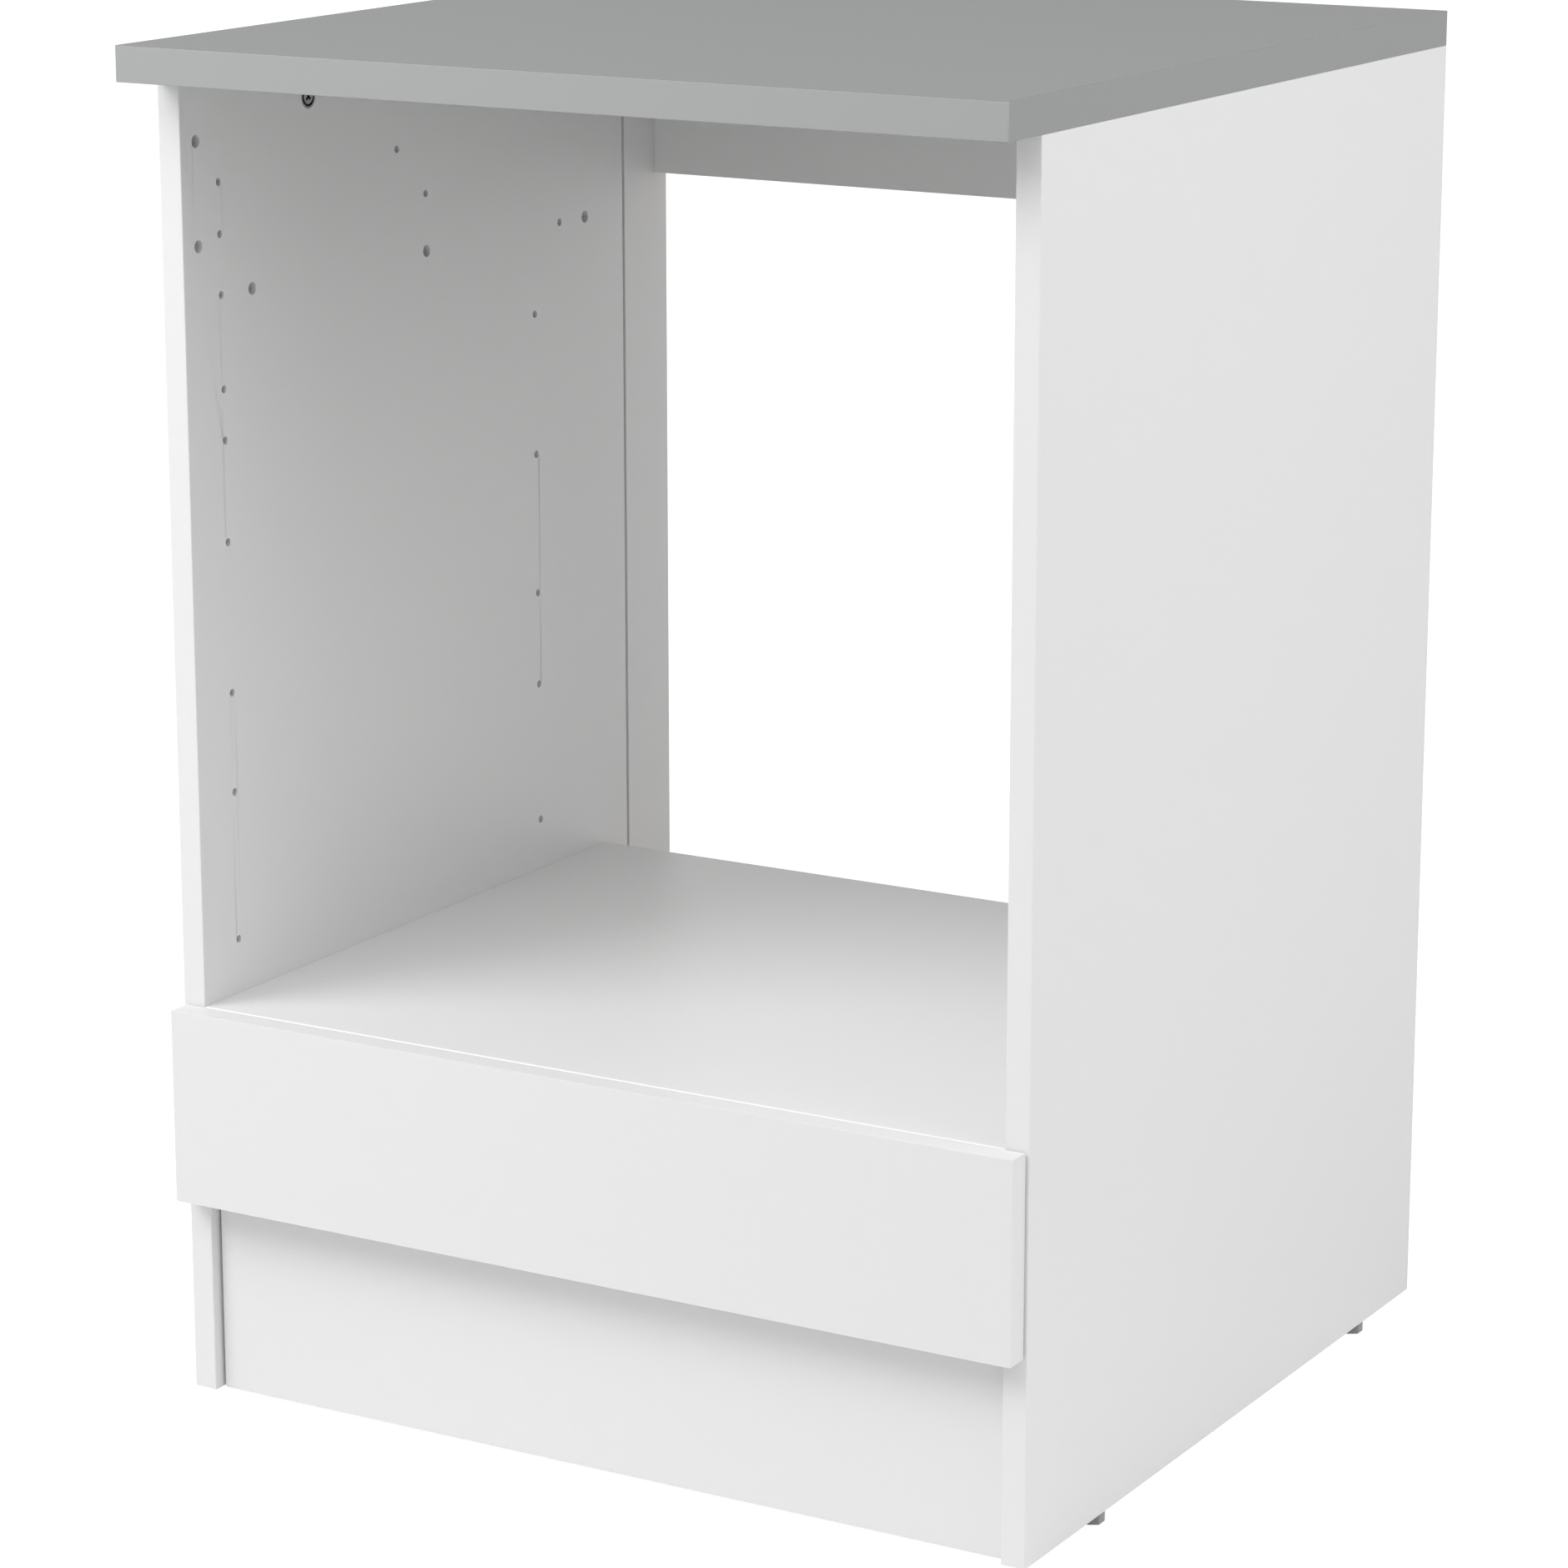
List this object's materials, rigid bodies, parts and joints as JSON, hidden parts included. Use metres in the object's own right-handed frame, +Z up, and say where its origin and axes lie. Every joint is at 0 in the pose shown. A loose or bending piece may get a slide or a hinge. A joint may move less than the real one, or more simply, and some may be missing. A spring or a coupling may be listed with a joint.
{
  "type": "oven base cabinet",
  "caption": "Floor-standing white kitchen base unit with grey worktop, open compartment for a built-in oven and a handleless drawer on roller runners below it.",
  "frame": {"origin": "on the floor, in the middle of the worktop's outline", "axes": "+Z up, front towards -Y, +X to the right seen from the front"},
  "size_m": [0.6, 0.6, 0.868],
  "materials": {
    "white_board": "satin",
    "white_edging": "satin",
    "worktop": "matte",
    "worktop_edging": "matte",
    "drawer_base": "satin",
    "cam_zinc": "satin",
    "plated_steel": "satin",
    "beech": "matte",
    "foot_plastic": "matte",
    "runner_enamel": "satin",
    "roller_nylon": "satin",
    "bumper": "satin"
  },
  "bodies": {
    "carcass": {"side_panel_left": "white_board", "side_panel_right": "white_board", "bottom_panel": "white_board", "oven_shelf": "white_board", "rear_rail": "white_board", "plinth_panel": "white_board", "side_edging_left": "white_edging", "side_edging_right": "white_edging", "bottom_panel_edging": "white_edging", "oven_shelf_edging": "white_edging", "worktop_board": "worktop", "worktop_front_edging": "worktop_edging", "worktop_side_edgings": "worktop_edging", "oven_shelf_cams": "cam_zinc", "bottom_panel_cams": "cam_zinc", "rail_cams": "cam_zinc", "worktop_bolts": "plated_steel", "oven_shelf_bolts": "plated_steel", "bottom_panel_bolts": "plated_steel", "rail_bolts": "plated_steel", "plinth_screws": "plated_steel", "cabinet_runner_screws": "plated_steel", "cabinet_roller_pins": "plated_steel", "plinth_brackets": "plated_steel", "oven_shelf_dowels": "beech", "bottom_panel_dowels": "beech", "rail_dowels": "beech", "foot_sleeves": "foot_plastic", "cabinet_runner_left": "runner_enamel", "cabinet_runner_right": "runner_enamel"},
    "drawer": {"drawer_front": "white_board", "drawer_side_left": "white_board", "drawer_side_right": "white_board", "drawer_back": "white_board", "drawer_base": "drawer_base", "drawer_cams": "cam_zinc", "drawer_bolts": "plated_steel", "drawer_back_screws": "plated_steel", "drawer_base_screws": "plated_steel", "drawer_runner_screws": "plated_steel", "drawer_roller_pins": "plated_steel", "drawer_dowels": "beech", "drawer_runner_left": "runner_enamel", "drawer_runner_right": "runner_enamel", "drawer_bumpers": "bumper"},
    "worktop_cam_front_left": {"worktop_cam_front_left": "cam_zinc"},
    "worktop_cam_front_right": {"worktop_cam_front_right": "cam_zinc"},
    "worktop_cam_rear_left": {"worktop_cam_rear_left": "cam_zinc"},
    "worktop_cam_rear_right": {"worktop_cam_rear_right": "cam_zinc"},
    "cabinet_roller_left": {"cabinet_roller_left": "roller_nylon"},
    "cabinet_roller_right": {"cabinet_roller_right": "roller_nylon"},
    "drawer_roller_left": {"drawer_roller_left": "roller_nylon"},
    "drawer_roller_right": {"drawer_roller_right": "roller_nylon"},
    "foot_front_left": {"foot_front_left": "foot_plastic"},
    "foot_front_right": {"foot_front_right": "foot_plastic"},
    "foot_rear_left": {"foot_rear_left": "foot_plastic"},
    "foot_rear_right": {"foot_rear_right": "foot_plastic"}
  },
  "joints": [
    {"name": "drawer_slide", "type": "slide", "parent": "carcass", "child": "drawer", "axis": [0, -1, 0], "range_m": [0, 0.34]},
    {"name": "cabinet_roller_left_spin", "type": "hinge", "parent": "carcass", "child": "cabinet_roller_left", "pos_m": [-0.27745, -0.245, 0.1722], "axis": [1, 0, 0], "continuous": true},
    {"name": "drawer_roller_left_spin", "type": "hinge", "parent": "drawer", "child": "drawer_roller_left", "pos_m": [-0.27745, 0.175, 0.1722], "axis": [1, 0, 0], "continuous": true},
    {"name": "cabinet_roller_right_spin", "type": "hinge", "parent": "carcass", "child": "cabinet_roller_right", "pos_m": [0.27745, -0.245, 0.1722], "axis": [1, 0, 0], "continuous": true},
    {"name": "drawer_roller_right_spin", "type": "hinge", "parent": "drawer", "child": "drawer_roller_right", "pos_m": [0.27745, 0.175, 0.1722], "axis": [1, 0, 0], "continuous": true},
    {"name": "worktop_cam_front_left_turn", "type": "hinge", "parent": "carcass", "child": "worktop_cam_front_left", "pos_m": [-0.284, -0.1262, 0.822], "axis": [1, 0, 0], "range_deg": [0, 180]},
    {"name": "worktop_cam_front_right_turn", "type": "hinge", "parent": "carcass", "child": "worktop_cam_front_right", "pos_m": [0.284, -0.1262, 0.822], "axis": [-1, 0, 0], "range_deg": [0, 180]},
    {"name": "worktop_cam_rear_left_turn", "type": "hinge", "parent": "carcass", "child": "worktop_cam_rear_left", "pos_m": [-0.284, 0.1938, 0.822], "axis": [1, 0, 0], "range_deg": [0, 180]},
    {"name": "worktop_cam_rear_right_turn", "type": "hinge", "parent": "carcass", "child": "worktop_cam_rear_right", "pos_m": [0.284, 0.1938, 0.822], "axis": [-1, 0, 0], "range_deg": [0, 180]},
    {"name": "foot_front_left_screw", "type": "slide", "parent": "carcass", "child": "foot_front_left", "axis": [0, 0, -1], "range_m": [0, 0.02]},
    {"name": "foot_front_right_screw", "type": "slide", "parent": "carcass", "child": "foot_front_right", "axis": [0, 0, -1], "range_m": [0, 0.02]},
    {"name": "foot_rear_left_screw", "type": "slide", "parent": "carcass", "child": "foot_rear_left", "axis": [0, 0, -1], "range_m": [0, 0.02]},
    {"name": "foot_rear_right_screw", "type": "slide", "parent": "carcass", "child": "foot_rear_right", "axis": [0, 0, -1], "range_m": [0, 0.02]}
  ],
  "couplings": [
    {"joint": "cabinet_roller_left_spin", "follows": "drawer_slide", "rad_per_m": 100},
    {"joint": "drawer_roller_left_spin", "follows": "drawer_slide", "rad_per_m": 100},
    {"joint": "cabinet_roller_right_spin", "follows": "drawer_slide", "rad_per_m": 100},
    {"joint": "drawer_roller_right_spin", "follows": "drawer_slide", "rad_per_m": 100}
  ]
}
